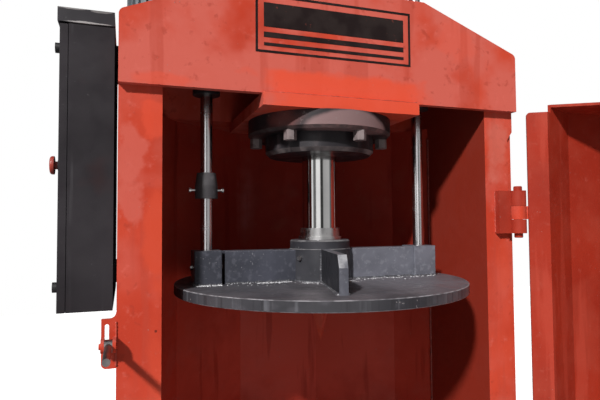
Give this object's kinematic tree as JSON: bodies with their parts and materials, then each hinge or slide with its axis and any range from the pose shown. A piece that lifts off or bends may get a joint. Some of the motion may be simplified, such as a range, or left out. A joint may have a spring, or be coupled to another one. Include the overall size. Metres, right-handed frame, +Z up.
{
  "type": "drum crusher",
  "caption": "Hydraulic press frame with a round platen on a chrome ram, two guide rods, a folded chamber and a hinged tray door, for flattening steel drums.",
  "frame": {"origin": "on the floor under the ram's axis, in the middle of the four floor bolts", "axes": "+Z up along the ram's axis, -Y towards the door side, +X towards the door's hinge"},
  "size_m": [1.6894, 0.9987, 2.588],
  "materials": {
    "red_paint": "satin worn paint",
    "dark_paint": "dark grey paint",
    "chamber_paint": "red primer",
    "box_paint": "charcoal powder coat",
    "chrome": "polished",
    "bright_steel": "ground",
    "black_steel": "black",
    "zinc": "zinc plated",
    "estop_red": "moulded",
    "black_plastic": "moulded",
    "motor_grey": "grey paint"
  },
  "bodies": {
    "frame": {"base_plate": "red_paint", "bed_plate": "dark_paint", "column_left": "red_paint", "column_right": "red_paint", "chamber_shell": "chamber_paint", "beam_front_plate": "red_paint", "beam_rear_plate": "red_paint", "cylinder_mount_plate": "red_paint", "guide_shelf": "red_paint", "lifting_plate_left": "red_paint", "lifting_plate_right": "red_paint", "cylinder_flange": "black_steel", "flange_bolts": "black_steel", "gland_ring": "black_steel", "cylinder_barrel": "black_steel", "guide_bush_left": "black_steel", "guide_bush_right": "black_steel", "fixed_hinge_upper": "red_paint", "fixed_hinge_lower": "red_paint", "hinge_pins": "zinc", "latch_bracket": "red_paint", "control_box": "box_paint", "control_box_roof": "box_paint", "mounting_panel": "zinc", "switch_gear": "black_plastic", "pack_shelf": "red_paint", "oil_tank": "red_paint", "tank_lid": "red_paint", "motor": "motor_grey", "motor_fan_cover": "motor_grey", "valve_block": "bright_steel", "pipe_press": "zinc", "pipe_return": "zinc"},
    "ram": {"platen": "dark_paint", "spike": "red_paint", "hub": "dark_paint", "rod_collar": "black_steel", "rod_end_ring": "bright_steel", "piston_rod": "chrome", "piston": "bright_steel", "crossbar_left": "dark_paint", "crossbar_right": "dark_paint", "clamp_block_left": "dark_paint", "clamp_block_right": "dark_paint", "gusset_front": "dark_paint", "gusset_rear": "dark_paint", "guide_rod_left": "chrome", "guide_rod_right": "chrome", "stop_collar": "black_steel", "ram_screws": "bright_steel"},
    "door": {"door_skin": "red_paint", "door_cap": "red_paint", "door_straps": "red_paint", "door_fork": "red_paint"},
    "latch": {"swing_bolt": "zinc"},
    "box_door": {"box_door": "box_paint", "estop_collar": "black_plastic"},
    "estop": {"estop_button": "estop_red"},
    "lock_upper": {"box_lock_upper": "black_plastic"},
    "lock_lower": {"box_lock_lower": "black_plastic"}
  },
  "joints": [
    {"name": "ram_slide", "type": "slide", "parent": "frame", "child": "ram", "axis": [0, 0, 1], "range_m": [-0.88, 0.1]},
    {"name": "door_hinge", "type": "hinge", "parent": "frame", "child": "door", "pos_m": [0.414, -0.139, 0.9], "axis": [0, 0, 1], "range_deg": [-148, 22]},
    {"name": "latch_swing", "type": "hinge", "parent": "frame", "child": "latch", "pos_m": [-0.4285, -0.142, 1.082], "axis": [1, 0, 0], "range_deg": [0, 90]},
    {"name": "box_door_hinge", "type": "hinge", "parent": "frame", "child": "box_door", "pos_m": [-0.505, 0.256, 1.38], "axis": [0, 0, -1], "range_deg": [0, 110]},
    {"name": "estop_press", "type": "slide", "parent": "box_door", "child": "estop", "axis": [1, 0, 0], "range_m": [0, 0.005]},
    {"name": "lock_upper_turn", "type": "hinge", "parent": "box_door", "child": "lock_upper", "pos_m": [-0.511, -0.07, 1.594], "axis": [1, 0, 0], "range_deg": [0, 90]},
    {"name": "lock_lower_turn", "type": "hinge", "parent": "box_door", "child": "lock_lower", "pos_m": [-0.511, -0.07, 1.174], "axis": [1, 0, 0], "range_deg": [0, 90]}
  ]
}
